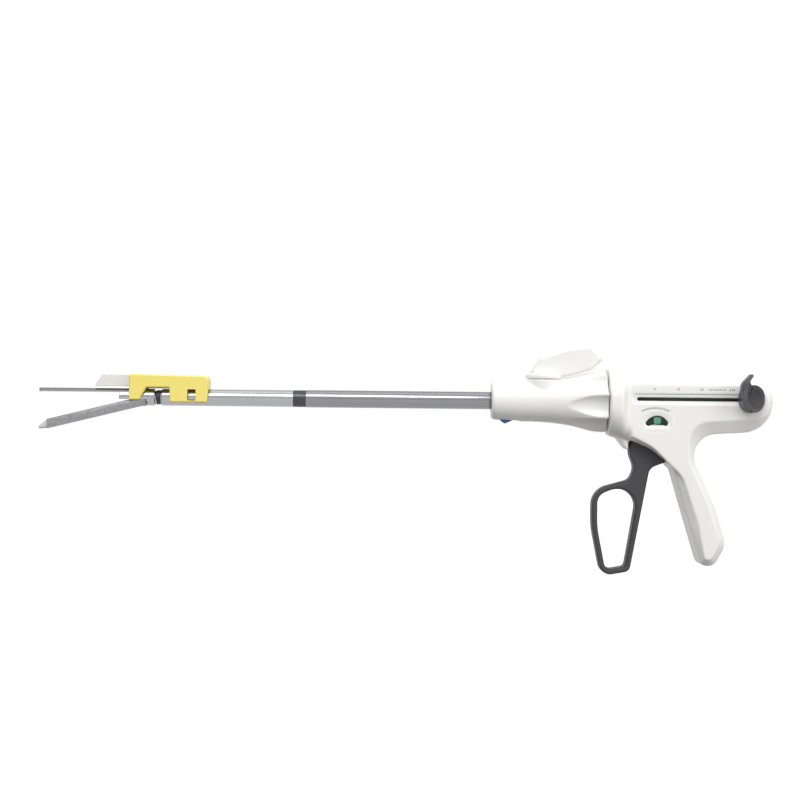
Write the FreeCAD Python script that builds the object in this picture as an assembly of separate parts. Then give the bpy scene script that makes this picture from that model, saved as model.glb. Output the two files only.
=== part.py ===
import FreeCAD, Part
import math
import os

from FreeCAD import Vector

# Endoscopic linear stapler with a loaded 60 mm unit, jaws open, shipping wedge on.
# Origin on the shaft axis where the outer tube leaves the rotation knob.
# +X runs along the shaft towards the hand, the jaws point along -X, +Z is up.
# The left side of the instrument is -Y. All sizes in millimetres.

# Fits and walls
fitGap = 0.3            # between bodies that pass each other
runGap = 0.05           # radial clearance of a running fit
seatGap = 0.02          # radial clearance of a fixed round seat
shellWall = 2.4
farAway = 600           # reach of the cutters that split or trim a whole piece

# Shaft
tubeRadius = 6.0
tubeBore = 5.2
tubeLength = 127.6      # exposed length in front of the knob
tubeTail = 15.5         # length held inside the knob
tubeTailRadius = 5.6
rodRadius = 2.4

# Loading unit
unitRadius = 5.78
unitBore = 5.0
collarLength = 8.7
unitLength = 98.7       # from the outer tube to the bending joint
jointHalfGap = 2.7      # clear of the joint axis on each side
insertLength = 10.0     # spigot that enters the outer tube
insertRadius = 5.1

# Head and jaws
headRingLength = 4.8
headRadius = 5.8
cheekLength = 19.2      # side plates that guide the lower jaw
anvilUnder = 3.3        # height of the anvil's underside
anvilPlateThick = 1.2
anvilRadius = 5.65
anvilRise = 0.3         # of the anvil's own axis above the shaft's
anvilLength = 79.8      # from the joint axis to the anvil's tip, less the ring
jawPivotDrop = 0.6
jawOpenAngle = 13.9
jawRadius = 5.4
jawFloor = 4.4
jawDepthTop = 1.2
cartridgeTop = 1.8
jawLength = 72.3        # from the jaw pivot to the channel's tip
noseLength = 7.4
stapleRows = 3          # on each side of the knife slot
staplePitch = 4.4
stapleCount = 13

# Drive
strokeLength = 72.0
sledLength = 3.2
rackHalfWidth = 3.0
rackTop = 6.2
rackRoot = -1.0
rackToothHeight = 2.0
rackPitch = 5.0
rackTeeth = 15
rackNeckLength = 16.0
rackNeckTop = 2.4

# Retraction knobs in the side slots
slotHeight = 2.1        # height of the slot's centre line above the axis
slotWidth = 2.1
slotPlay = 0.6          # left at both ends of the slot
trackMargin = 3.3
trackDepth = 0.8
stemLength = 9.5
stemThick = 1.7
knobHalf = 8.7
knobTop = 12.4
knobFoot = -6.6
knobReach = 16.5
knobSlope = 33.0        # tilt of the dished face towards the rear
knobFaceHeight = 10.4   # of the face's centre above the shell
dishRadius = 16.0
dishDepth = 1.5

# Handle
bodyHalf = 17.0         # flat side panel
coreHalf = 11.5         # where the side bevel starts
collarRadius = 22.8
collarDepth = 4.7       # wall in which the rotation knob's journal runs
barrelTop = 15.6

# Trigger
triggerHalf = 6.0
triggerPivotZ = -21.5
pivotPinRadius = 2.0
pivotBossRadius = 3.6
triggerSwing = 24.9     # radius that the trigger's rear corner sweeps
pawlPinZ = -10.6
pawlPinRadius = 1.2
pawlHalf = 1.8

# Fire button
buttonZ = -12.6
buttonHalf = 6.7
buttonProud = 0.8

# Rotation knob
rotatorLength = 79.2
rotatorNose = 12.9
rotatorGap = 0.6
rotatorRear = 21.0
rotatorBore = 7.6
journalRadius = 12.9
journalFlange = 15.4
journalFlangeThick = 2.1
fluteTilt = -8.4        # of the side flute below the horizontal
flutePitch = 46.5
fluteRadius = 9.5
leverX = 36.0
pedestalRadius = 12.2
pedestalTop = 14.9
hubTop = 18.5
leverHalf = 5.0
spindleRadius = 3.6
crankOffset = 2.3
crankRadius = 1.0
sliderFloor = 8.0
sliderTop = 10.4
unloadTravel = 4.0

# Shipping wedge
wedgeTop = 16.1
wedgeFoot = -3.4
wedgeFrontFoot = -1.9
wedgeHalf = 7.8
wedgeWall = 1.5
tabLength = 25.4

# Places that follow from the sizes above
collarFace = rotatorLength + rotatorGap
collarWallEnd = collarFace + collarDepth
triggerPivotX = collarFace + 26.7
pawlPinX = triggerPivotX - 3.0
buttonX = collarFace + 32.0
knobX = collarFace + 95.7
slotFront = knobX - strokeLength - stemLength / 2 - slotPlay
slotRear = knobX + stemLength / 2 + slotPlay
rackFront = collarFace + 15.2
rackTail = knobX + stemLength / 2 + 3.0
jointX = -tubeLength - unitLength - jointHalfGap
unitEnd = jointX + jointHalfGap
headRingRear = jointX - jointHalfGap
headRingFront = headRingRear - headRingLength
jawPivotX = headRingRear - 2.8
collarEnd = -tubeLength - collarLength
wedgeFront = jointX - 19.7
wedgeRear = jointX + 35.0
tabFront = wedgeFront - tabLength


def save(name, shape):
    shape = shape.removeSplitter()
    assert shape.isValid(), name
    shape.exportStep("parts/" + name + ".step")
    print(name, len(shape.Solids), "solids", round(shape.Volume), "mm3")


def block(x0, x1, y0, y1, z0, z1):
    return Part.makeBox(x1 - x0, y1 - y0, z1 - z0, Vector(x0, y0, z0))


def rod(x0, x1, radius, y=0.0, z=0.0):
    return Part.makeCylinder(radius, x1 - x0, Vector(x0, y, z), Vector(1, 0, 0))


def crossPin(x, z, radius, y0, y1):
    return Part.makeCylinder(radius, y1 - y0, Vector(x, y0, z), Vector(0, 1, 0))


def post(x, y, radius, z0, z1):
    return Part.makeCylinder(radius, z1 - z0, Vector(x, y, z0), Vector(0, 0, 1))


def pipe(x0, x1, outer, inner):
    return rod(x0, x1, outer).cut(rod(x0 - 1, x1 + 1, inner))


def roundedWire(corners, place):
    """Closed wire through (a, b, radius) corners, each turned by an arc."""
    spans = []
    count = len(corners)
    for index, (a, b, radius) in enumerate(corners):
        here = Vector(a, b, 0)
        back = Vector(*corners[index - 1][:2], 0) - here
        ahead = Vector(*corners[(index + 1) % count][:2], 0) - here
        back.normalize()
        ahead.normalize()
        half = back.getAngle(ahead) / 2
        reach = radius / math.tan(half)
        bisector = back + ahead
        bisector.normalize()
        middle = here + bisector * (radius / math.sin(half) - radius)
        spans.append((here + back * reach, middle, here + ahead * reach))
    edges = []
    for index, (start, middle, end) in enumerate(spans):
        before = spans[index - 1][2]
        edges.append(Part.LineSegment(place(before), place(start)).toShape())
        edges.append(Part.Arc(place(start), place(middle), place(end)).toShape())
    return Part.Wire(edges)


def insetCorners(corners, distance):
    """The same corners with every side moved inwards by a distance."""
    count = len(corners)
    area = sum(
        corners[i - 1][0] * corners[i][1] - corners[i][0] * corners[i - 1][1]
        for i in range(count)
    )
    turn = 1 if area > 0 else -1
    result = []
    for index, (a, b, radius) in enumerate(corners):
        here = Vector(a, b, 0)
        before = here - Vector(*corners[index - 1][:2], 0)
        after = Vector(*corners[(index + 1) % count][:2], 0) - here
        before.normalize()
        after.normalize()
        inBefore = Vector(-before.y, before.x, 0) * turn
        inAfter = Vector(-after.y, after.x, 0) * turn
        cross = before.x * after.y - before.y * after.x
        move = (inBefore + inAfter) * (distance / (1 + inBefore.dot(inAfter)))
        newRadius = radius - distance if cross * turn > 0 else radius + distance
        result.append((a + move.x, b + move.y, max(newRadius, 0.3)))
    return result


def sidePlane(y):
    return lambda p: Vector(p.x, y, p.y)


def crossPlane(x):
    return lambda p: Vector(x, p.x, p.y)


def plate(corners, y0, y1):
    """Flat piece cut to an outline in the XZ plane."""
    face = Part.Face(roundedWire(corners, sidePlane(y0)))
    return face.extrude(Vector(0, y1 - y0, 0))


def softPlate(corners, half, bevel, depth):
    """Flat piece whose rim is bevelled on both sides."""
    inner = insetCorners(corners, bevel)
    shape = plate(corners, depth - half, half - depth)
    for side in (-1, 1):
        wires = [
            roundedWire(corners, sidePlane(side * (half - depth))),
            roundedWire(inner, sidePlane(side * half)),
        ]
        shape = shape.fuse(Part.makeLoft(wires, True, True))
    return shape


def sidedBody(coreCorners, panelCorners, halfCore, halfPanel):
    """Thick body between two flat panels, joined by a sloping rim."""
    shape = plate(coreCorners, -halfCore, halfCore)
    for side in (-1, 1):
        wires = [
            roundedWire(coreCorners, sidePlane(side * halfCore)),
            roundedWire(panelCorners, sidePlane(side * halfPanel)),
        ]
        shape = shape.fuse(Part.makeLoft(wires, True, True))
    return shape


def noseSection(x, half, top, bottom, radius):
    corners = [(half, top, radius), (half, bottom, radius)]
    corners += [(-half, bottom, radius), (-half, top, radius)]
    return roundedWire(corners, crossPlane(x))


# Handle outlines, with X counted from the collar's face: the first at the seam's
# thickness, the second on the flat side panels.
coreCorners = [
    (12.8, barrelTop, 1), (112.0, 15.0, 13), (111.6, -19.0, 21), (58.3, -22.1, 15),
    (58.9, -40.5, 16), (73.2, -70.7, 70), (81.0, -96.9, 13), (72.2, -112.3, 7),
    (64.2, -110.8, 2.5), (54.6, -80.0, 80), (43.9, -43.6, 4), (29.0, -31.8, 25),
    (12.8, -24.9, 1),
]
panelCorners = [
    (15.2, 12.4, 1), (108.2, 11.6, 11), (107.5, -10.2, 10), (53.3, -13.6, 14),
    (54.4, -40.3, 18), (68.2, -70.8, 70), (75.7, -95.4, 10), (69.1, -107.0, 3),
    (65.2, -106.0, 2), (61.3, -83.6, 50), (50.6, -51.6, 22), (29.2, -30.3, 25),
    (15.2, -23.2, 1),
]


def behindCollar(corners):
    return [(collarFace + x, z, radius) for x, z, radius in corners]


def handleSolid():
    outer = sidedBody(behindCollar(coreCorners), behindCollar(panelCorners), coreHalf, bodyHalf)
    sections = [
        noseSection(collarFace, collarRadius, collarRadius, -collarRadius, collarRadius - 0.4),
        noseSection(collarFace + 8.6, 22.6, 22.6, -26.0, 20.5),
        noseSection(collarFace + 12.2, bodyHalf, 19.8, -26.0, 12),
        noseSection(collarFace + 28.2, bodyHalf, barrelTop, -29.2, 3.5),
    ]
    outer = outer.fuse(Part.makeLoft(sections, True, True))
    lipCorners = [
        (3.7, -20, 0.5), (6.7, -25, 3), (13.0, -32.8, 0.5), (13.8, -32, 0.3),
        (13.8, -20, 0.5),
    ]
    return outer.fuse(plate(behindCollar(lipCorners), -9.5, 9.5))


def handleHollow():
    inner = sidedBody(
        insetCorners(behindCollar(coreCorners), shellWall),
        insetCorners(behindCollar(panelCorners), shellWall / 2),
        coreHalf, bodyHalf - shellWall,
    )
    wall = shellWall
    sections = [
        noseSection(collarWallEnd, 20.2, 20.2, -21.0, 18.5),
        noseSection(collarFace + 6.8, 20.0, 19.8, -22.2, 17.5),
        noseSection(collarFace + 10.6, bodyHalf - wall - 0.2, 17.4, -23.0, 9.5),
        noseSection(collarFace + 28.2, bodyHalf - wall, barrelTop - wall, -26.6, 1.6),
    ]
    return inner.fuse(Part.makeLoft(sections, True, True))


def triggerMouth():
    half = triggerHalf + 1.0
    sweep = crossPin(triggerPivotX, triggerPivotZ, triggerSwing, -half, half)
    mouthFront = collarFace + 13.8
    sweep = sweep.common(block(mouthFront, mouthFront + 41, -half, half, -60, -12))
    corners = [(13.8, -20, 0.5), (13.8, -40, 0.5), (37.2, -46, 0.5), (40.2, -40, 0.5)]
    return sweep.fuse(plate(behindCollar(corners), -half, half))


def buttonOutline(margin):
    """Bean-shaped window: an arched top and a flatter arched bottom."""
    x = buttonX
    z = buttonZ
    left = x - buttonHalf - margin
    right = x + buttonHalf + margin
    topEnd = z - 0.8 + margin
    lowEnd = z - 3.1 - margin
    middle = (topEnd + lowEnd) / 2
    arcs = [
        ((left, topEnd), (x, z + 3.0 + margin), (right, topEnd)),
        ((right, topEnd), (right + 0.5, middle), (right - 0.8, lowEnd)),
        ((right - 0.8, lowEnd), (x, z - 2.2 - margin), (left + 0.8, lowEnd)),
        ((left + 0.8, lowEnd), (left - 0.5, middle), (left, topEnd)),
    ]
    return Part.Wire([Part.Arc(*[Vector(a, 0, b) for a, b in arc]).toShape() for arc in arcs])


def beanPlate(margin, y0, y1):
    face = Part.Face(buttonOutline(margin))
    face.translate(Vector(0, y0, 0))
    return face.extrude(Vector(0, y1 - y0, 0))


def slottedBar(x0, x1, half, y0, y1):
    """Round-ended bar in the XZ plane on the slot's centre line."""
    corners = [
        (x0, slotHeight + half, half * 0.98), (x1, slotHeight + half, half * 0.98),
        (x1, slotHeight - half, half * 0.98), (x0, slotHeight - half, half * 0.98),
    ]
    return plate(corners, y0, y1)


def shells():
    body = handleSolid().cut(handleHollow())
    body = body.cut(rod(collarFace - 1, collarWallEnd + 1, journalRadius + fitGap))
    body = body.cut(triggerMouth())
    slot = slottedBar(slotFront, slotRear, slotWidth / 2, -30, 30)
    body = body.cut(slot)
    for side in (-1, 1):
        outer = bodyHalf * side
        floor = outer - trackDepth * side
        low, high = min(outer + side, floor), max(outer + side, floor)
        track = slottedBar(slotFront - 3.6, slotRear + 3.6, trackMargin, low, high)
        body = body.cut(track)
        recess = beanPlate(2.6, low + 0.4 * (side > 0), high - 0.4 * (side < 0))
        body = body.cut(recess)
    body = body.cut(beanPlate(fitGap, -30, 30))
    for side in (-1, 1):
        wallIn = bodyHalf - shellWall + 0.6
        boss = crossPin(triggerPivotX, triggerPivotZ, pivotBossRadius,
                        *sorted((side * (triggerHalf + 0.6), side * wallIn)))
        body = body.fuse(boss)
        for ribX in (collarFace + 38.2, collarFace + 66.2):
            for ribLow, ribHigh in ((-5.6, -3.4), (6.6, 8.8)):
                rib = block(ribX, ribX + 26, *sorted((side * 3.4, side * wallIn)), ribLow, ribHigh)
                body = body.fuse(rib)
    body = body.cut(crossPin(triggerPivotX, triggerPivotZ, pivotPinRadius + seatGap, -14, 14))
    left = body.common(block(0, farAway, -farAway, 0, -farAway, farAway))
    right = body.common(block(0, farAway, 0, farAway, -farAway, farAway))
    save("left_shell", left)
    save("right_shell", right)
    save("trigger_pivot_pin", crossPin(triggerPivotX, triggerPivotZ, pivotPinRadius, -13.8, 13.8))


def octagon(radius, x, z):
    """Wire section: an octagon as large as a circle of this radius, square to Y."""
    reach = radius * 1.054
    turns = [math.radians(22.5 + 45 * index) for index in range(9)]
    return Part.makePolygon([
        Vector(x + reach * math.cos(turn), 0, z + reach * math.sin(turn)) for turn in turns
    ])


def triggerSpring():
    """Torsion spring wound round the left pivot boss, with two straight legs.

    Each half turn is a flat half circle, tilted by half a pitch, so neighbours meet in line."""
    wire = 0.4
    radius = pivotBossRadius + fitGap + wire
    climb = 0.55            # along the axis in half a turn
    legLength = 6.0
    halfTurns = 7
    spring = Part.Face(octagon(wire, radius, 0)).extrude(Vector(0, -legLength, 0))
    for index in range(halfTurns):
        side = 1 if index % 2 == 0 else -1
        middle = Vector(0, 0, climb * (index + 0.5))
        axis = Vector(side * climb / 2, 0, radius)
        section = Part.Face(octagon(wire, side * radius, climb * index))
        spring = spring.fuse(section.revolve(middle, axis, 180))
    rear = Part.Face(octagon(wire, -radius, climb * halfTurns)).extrude(Vector(0, -legLength, 0))
    spring = spring.fuse(rear)
    spring.rotate(Vector(0, 0, 0), Vector(1, 0, 0), -90)
    spring.rotate(Vector(0, 0, 0), Vector(0, 0, 1), 180)
    spring.translate(Vector(triggerPivotX, -triggerHalf - 1.2, triggerPivotZ))
    save("trigger_spring", spring)


# Trigger outline from its hub down round the finger loop and back, X from the collar's face.
triggerCorners = [
    (14.8, -29.6, 1.2), (15.6, -37, 10), (18.9, -45.5, 9), (15.4, -53.4, 6), (-10.2, -60.6, 14),
    (-10.2, -86, 60), (-3.4, -119.8, 8), (16.2, -116.4, 5), (29.4, -45.3, 7),
    (40.6, -41.0, 1.2), (37.2, -31, 4), (30.6, -20, 4), (25.8, -7.2, 2.5),
    (20.6, -7.6, 2.5), (19.8, -20, 6),
]
loopCorners = [
    (21.9, -59.4, 12), (4.2, -60.0, 14), (-6.2, -64.4, 8), (-6.2, -86, 60), (-0.4, -115.4, 4.5),
    (12.8, -113.0, 3),
]


def trigger():
    shape = softPlate(behindCollar(triggerCorners), triggerHalf, 1.2, 1.4)
    opening = behindCollar(loopCorners)
    loop = plate(opening, -10, 10)
    shape = shape.cut(loop)
    rim = insetCorners(opening, -1.2)
    for side in (-1, 1):
        wires = [
            roundedWire(opening, sidePlane(side * (triggerHalf - 1.4))),
            roundedWire(rim, sidePlane(side * triggerHalf)),
        ]
        shape = shape.cut(Part.makeLoft(wires, True, True))
    hub = (triggerPivotX - 18, triggerPivotX + 6)
    shape = shape.cut(block(*hub, -pawlHalf - fitGap, pawlHalf + fitGap, -17.5, 0))
    for side in (-1, 1):
        shape = shape.cut(block(*hub, *sorted((side * 4.4, side * 10)), -17.5, 0))
    shape = shape.cut(crossPin(triggerPivotX, triggerPivotZ, pivotPinRadius + runGap, -10, 10))
    shape = shape.cut(crossPin(pawlPinX, pawlPinZ, pawlPinRadius + seatGap, -10, 10))
    save("trigger", shape)
    save("pawl_pin", crossPin(pawlPinX, pawlPinZ, pawlPinRadius, -4.4, 4.4))


def drivePawl():
    corners = [
        (pawlPinX + 2.6, pawlPinZ - 2.6, 2.4), (pawlPinX + 2.6, pawlPinZ + 2.4, 2),
        (pawlPinX - 6.1, rackRoot - rackToothHeight - 0.6, 0.4), (pawlPinX - 7.1, -5.4, 0.4),
        (pawlPinX - 2.8, pawlPinZ - 2.6, 2),
    ]
    shape = plate(corners, -pawlHalf, pawlHalf)
    save("drive_pawl", shape.cut(crossPin(pawlPinX, pawlPinZ, pawlPinRadius + runGap, -5, 5)))


def rack():
    tip = rackRoot - rackToothHeight
    points = [(rackFront, rackRoot), (rackFront, rackNeckTop)]
    points += [(rackFront + rackNeckLength, rackNeckTop), (rackFront + rackNeckLength, rackTop)]
    points += [(rackTail, rackTop), (rackTail, rackRoot)]
    last = rackFront + 4 + rackTeeth * rackPitch
    for index in range(rackTeeth):
        high = last - index * rackPitch
        points += [(high, rackRoot), (high - 0.8, tip), (high - 1.8, tip), (high - 4.2, rackRoot)]
    outline = Part.makePolygon([Vector(x, -rackHalfWidth, z) for x, z in points + points[:1]])
    shape = Part.Face(outline).extrude(Vector(0, 2 * rackHalfWidth, 0))
    window = block(knobX - stemLength / 2, knobX + stemLength / 2, -10, 10,
                   slotHeight - stemThick / 2, slotHeight + stemThick / 2)
    shape = shape.cut(window)
    shape = shape.cut(rod(rackFront - 1, rackFront + 9, 2.0))
    save("drive_rack", shape)
    bar = block(knobX - stemLength / 2, knobX + stemLength / 2, -bodyHalf - 4, bodyHalf + 4,
                slotHeight - stemThick / 2, slotHeight + stemThick / 2)
    save("knob_crossbar", bar)
    return bar


def knobWire(shift, y, spread):
    """Upright oval round the knob, at one distance from the shell."""
    half = knobHalf + spread
    top = knobTop + spread
    foot = knobFoot - spread
    rounding = half - 0.05
    return roundedWire([
        (knobX + shift - half, top, rounding), (knobX + shift + half, top, rounding),
        (knobX + shift + half, foot, rounding), (knobX + shift - half, foot, rounding),
    ], sidePlane(y))


def retractionKnob(side, bar):
    """Oval grip cut by a sloping dished face; the left one has a hooked lip at its upper front."""
    base = bodyHalf + fitGap
    z = slotHeight
    rings = [
        knobWire(-0.3, side * base, 0),
        knobWire(-0.3, side * (base + 5), -0.4),
        knobWire(-0.5, side * (base + knobReach), 0.2),
    ]
    shape = Part.makeLoft(rings, True, True)
    slope = Part.makeBox(60, 20, 60, Vector(-30, 0 if side > 0 else -20, -30))
    slope.rotate(Vector(0, 0, 0), Vector(0, 0, 1), -side * knobSlope)
    slope.translate(Vector(knobX, side * (base + knobFaceHeight), 0))
    shape = shape.cut(slope)
    horn = [
        (knobX - 9.0, z + 2.0, 1), (knobX - 8.8, z + 11.0, 5), (knobX - 2.6, z + 17.6, 0.6),
        (knobX - 1.2, z + 16.4, 0.4), (knobX - 4.0, z + 12.4, 2.0), (knobX - 1.0, z + 6.0, 1),
    ]
    if side < 0:
        shape = shape.fuse(plate(horn, -base - 13.0, -base - 4.5))
    tilt = math.radians(knobSlope)
    lift = dishRadius - dishDepth
    dish = Part.makeSphere(dishRadius, Vector(
        knobX + lift * math.sin(tilt), side * (base + knobFaceHeight + lift * math.cos(tilt)), z + 0.6))
    save("left_retraction_knob" if side < 0 else "right_retraction_knob", shape.cut(dish).cut(bar))


def fireButton():
    ends = bodyHalf - 0.4
    wings = []
    for side in (-1, 1):
        low, high = sorted((side * (ends - 3.0), side * ends))
        wings.append(beanPlate(0, low, high))
    corners = [
        (buttonX - 2.4, buttonZ + 2.4, 1.2), (buttonX + 2.4, buttonZ + 2.4, 1.2),
        (buttonX + 2.4, buttonZ - 2.0, 1.2), (buttonX - 2.4, buttonZ - 2.0, 1.2),
    ]
    bar = plate(corners, -bodyHalf - buttonProud, bodyHalf + buttonProud)
    save("fire_button", bar)
    save("button_wings", Part.makeCompound([wing.cut(bar) for wing in wings]))


def rotatorProfile():
    rim = rotatorLength
    return [
        (0.0, rotatorNose - 1.3), (1.3, rotatorNose), (0.09 * rim, 13.6), (0.25 * rim, 14.1),
        (0.43 * rim, 14.4), (0.6 * rim, 15.6), (0.73 * rim, 17.4), (rim - 11.0, 20.1),
        (rim - 4.5, 20.9), (rim - 1.2, rotatorRear), (rim, rotatorRear - 1.2),
    ]


def rotatorSolid():
    profile = rotatorProfile()
    middle = [Vector(x, 0, r) for x, r in profile[1:9]]
    curve = Part.BSplineCurve()
    curve.interpolate(middle)
    points = [Vector(0, 0, 0), Vector(0, 0, profile[0][1]), middle[0]]
    edges = [Part.LineSegment(points[i], points[i + 1]).toShape() for i in range(2)]
    edges.append(curve.toShape())
    tail = [middle[-1], Vector(profile[9][0], 0, profile[9][1]), Vector(profile[10][0], 0, profile[10][1])]
    tail += [Vector(rotatorLength, 0, 0), Vector(0, 0, 0)]
    edges += [Part.LineSegment(tail[i], tail[i + 1]).toShape() for i in range(4)]
    face = Part.Face(Part.Wire(edges))
    return face.revolve(Vector(0, 0, 0), Vector(1, 0, 0), 360)


def rotationKnob():
    shape = rotatorSolid()
    fluteFoot = 16.0        # radius at which the flutes start
    fluteStart = 0.5 * rotatorLength
    flute = rod(fluteStart, fluteStart + 60, fluteRadius, 0, fluteFoot + fluteRadius)
    for side in (-1, 1):
        for index in (-1, 0, 1):
            cutter = flute.copy()
            cutter.rotate(Vector(0, 0, 0), Vector(1, 0, 0), -side * (90 - fluteTilt - index * flutePitch))
            shape = shape.cut(cutter)
    pedestal = post(leverX, 0, pedestalRadius, 3, pedestalTop)
    fairing = plate([(7.5, 9, 0.5), (8.5, 13.4, 2), (leverX, 13.6, 1), (leverX, 9, 0.5)], -6.5, 6.5)
    shape = shape.fuse(pedestal).fuse(fairing)
    shape = shape.cut(post(leverX, 0, pedestalRadius + fitGap, pedestalTop, pedestalTop + 5))
    journal = rod(rotatorLength - 1, collarWallEnd + fitGap + journalFlangeThick, journalRadius)
    flange = rod(collarWallEnd + fitGap, collarWallEnd + fitGap + journalFlangeThick, journalFlange)
    shape = shape.fuse(journal).fuse(flange)
    shape = shape.cut(rod(-1, tubeTail + 1, tubeTailRadius + seatGap))
    shape = shape.cut(rod(tubeTail + fitGap, collarWallEnd + 20, rotatorBore))
    shape = shape.cut(block(16.0, 49.0, -7.0, 7.0, 5.0, sliderTop + 0.4))
    shape = shape.cut(post(leverX, 0, spindleRadius + runGap, 5, pedestalTop + 1))
    pocket = block(5.8, 15.0 + unloadTravel, -3.4, 3.4, -20, -9.3)
    shape = shape.cut(pocket)
    far = collarWallEnd + 40
    save("rotation_knob_left", shape.common(block(-1, far, -far, 0, -far, far)))
    save("rotation_knob_right", shape.common(block(-1, far, 0, far, -far, far)))


def shaft():
    tube = rod(-tubeLength, 0, tubeRadius).fuse(rod(-1, tubeTail, tubeTailRadius))
    tube = tube.cut(rod(-tubeLength - 1, tubeTail + 1, tubeBore))
    save("outer_tube", tube)
    seal = pipe(4, 9, tubeBore - 0.02, rodRadius + runGap)
    relief = block(0, 12, -1.9, 1.9, 2.7, 6)
    save("rod_seal", seal.cut(relief))
    save("control_rod", controlRod())


def controlRod():
    shape = rod(-tubeLength - 3.4, rackFront - 0.4, rodRadius)
    return shape.fuse(rod(rackFront - 1, rackFront + 8.6, 1.9))


def articulation():
    corners = [
        (27.4, 16.6, 0.8), (27.6, 21, 3), (34, 30.6, 7), (52, 36.6, 12),
        (68.5, 38.4, 4), (77.0, 29.2, 2.5), (69.2, 22.0, 2.5), (57.0, 18.1, 20), (48.9, 16.4, 0.5),
    ]
    fin = softPlate(corners, leverHalf, 1.6, 2.0)
    edge = 0.7              # bevel round the hub's top
    hub = post(leverX, 0, pedestalRadius, pedestalTop + fitGap, hubTop - edge)
    cap = Part.makeCone(pedestalRadius, pedestalRadius - edge, edge,
                        Vector(leverX, 0, hubTop - edge), Vector(0, 0, 1))
    spindle = post(leverX, 0, spindleRadius, sliderTop + 0.8, pedestalTop + 1)
    pin = post(leverX, crankOffset, crankRadius, sliderFloor + 0.2, sliderTop + 2)
    save("articulation_lever", fin.fuse(hub).fuse(cap).fuse(spindle).fuse(pin))
    sliderPlate = block(20.3, leverX + 7.3, -5.0, 5.0, sliderFloor, sliderTop)
    slot = block(leverX - crankRadius - fitGap, leverX + crankRadius + fitGap, -0.5, 4.4, 0, 20)
    sliderPlate = sliderPlate.cut(slot)
    drop = block(20.3, 22.8, -1.5, 1.5, 2.9, sliderFloor + 1)
    strip = block(-tubeLength - 1.6, 22.8, -1.5, 1.5, 2.9, 4.4)
    save("articulation_slider", sliderPlate.fuse(drop).fuse(strip))


def unloadSlide():
    corners = [(6.2, -9.6, 0.3), (6.2, -13.4, 0.4), (9.4, -15.8, 0.8), (14.6, -13.5, 0.5), (14.6, -9.6, 0.3)]
    save("unload_slide", plate(corners, -3.1, 3.1))


def loadingUnit():
    face = -tubeLength - 0.1
    collar = pipe(collarEnd, face, headRadius, insertRadius - 0.9)
    collar = collar.fuse(pipe(face - 1, face + insertLength, insertRadius, insertRadius - 0.9))
    relief = block(face - 20, face + 20, -1.8, 1.8, 2.6, insertRadius - 0.5)
    save("unit_collar", collar.cut(relief))
    save("unit_tube", pipe(unitEnd, collarEnd, unitRadius, unitBore))
    core = rod(unitEnd + 1, collarEnd - fitGap, unitBore - seatGap)
    ears = block(jointX - 1.6, unitEnd + 2, -2.0, 2.0, 2.75, 3.6)
    ears = ears.fuse(block(jointX - 1.6, unitEnd + 2, -2.0, 2.0, -3.6, -2.75))
    core = core.fuse(ears).cut(rod(jointX - 10, collarEnd + 1, rodRadius + 0.3))
    core = core.cut(block(unitEnd + 4, collarEnd + 1, -1.8, 1.8, 2.0, 10))
    core = core.cut(post(jointX, 0, 0.82, -10, 10))
    save("unit_core", core)
    save("articulation_link", block(unitEnd + 6, collarEnd + 6.6, -1.5, 1.5, 2.9, 4.4))
    sleeve = pipe(headRingRear + 0.2, unitEnd - 0.2, 5.3, 4.9)
    save("joint_sleeve", sleeve)
    pins = [post(jointX, 0, 0.8, 2.75, 4.4), post(jointX, 0, 0.8, -4.4, -2.75)]
    save("joint_pins", Part.makeCompound(pins))
    save("drive_bar", rod(driveBarFront, -tubeLength - 3.6, 2.2))
    beam = block(knifeRear + 0.1, driveBarFront - 0.1, -0.5, 0.5, -2.1, 2.1)
    save("drive_beam", beam)


driveBarFront = unitEnd + strokeLength + 4.0
knifeFront = jawPivotX - 8.6
knifeRear = knifeFront + 5.0
anvilTip = jointX - anvilLength - jointHalfGap


def headMount():
    ring = pipe(headRingFront, headRingRear, headRadius, unitBore)
    ears = block(headRingRear - 1.0, jointX + 1.9, -1.9, 1.9, 3.7, 4.4)
    ears = ears.fuse(block(headRingRear - 1.0, jointX + 1.9, -1.9, 1.9, -4.4, -3.7))
    web = rod(headRingRear - 0.8, headRingRear, unitBore + 0.2)
    web = web.cut(block(-farAway, 0, -1.2, 1.2, -2.6, 2.6))
    cheeks = []
    for side in (-1, 1):
        inner = jawRadius + 0.07
        cheek = pipe(headRingFront - cheekLength, headRingFront + 0.5, headRadius, inner)
        low, high = sorted((side * 4.2, side * 8))
        cheek = cheek.common(block(-farAway, 0, low, high, -1.4, anvilUnder))
        cheeks.append(cheek.cut(block(-farAway, 0, -inner, inner, -9, jawDepthTop + 0.2)))
    shape = ring.fuse(ears).fuse(web).fuse(cheeks)
    shape = shape.cut(post(jointX, 0, 0.8 + seatGap, -10, 10))
    shape = shape.cut(crossPin(jawPivotX, -jawPivotDrop, 0.9 + seatGap, -10, 10))
    save("head_mount", shape)
    pins = [crossPin(jawPivotX, -jawPivotDrop, 0.9, earInner, 5.8)]
    pins.append(crossPin(jawPivotX, -jawPivotDrop, 0.9, -5.8, -earInner))
    save("jaw_pins", Part.makeCompound(pins))


def tipCutter(tipX, radius):
    """Everything beyond a rounded tip, seen from above."""
    beyond = block(tipX - 20, tipX + radius, -20, 20, -20, 20)
    return beyond.cut(post(tipX + radius, 0, radius, -20, 20))


def stapleSites(first):
    for row in range(stapleRows):
        offset = staplePitch / 2 if row == 1 else 0
        for index in range(stapleCount):
            for side in (-1, 1):
                yield first - offset - index * staplePitch, side * (1.35 + row * 1.0)


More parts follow.
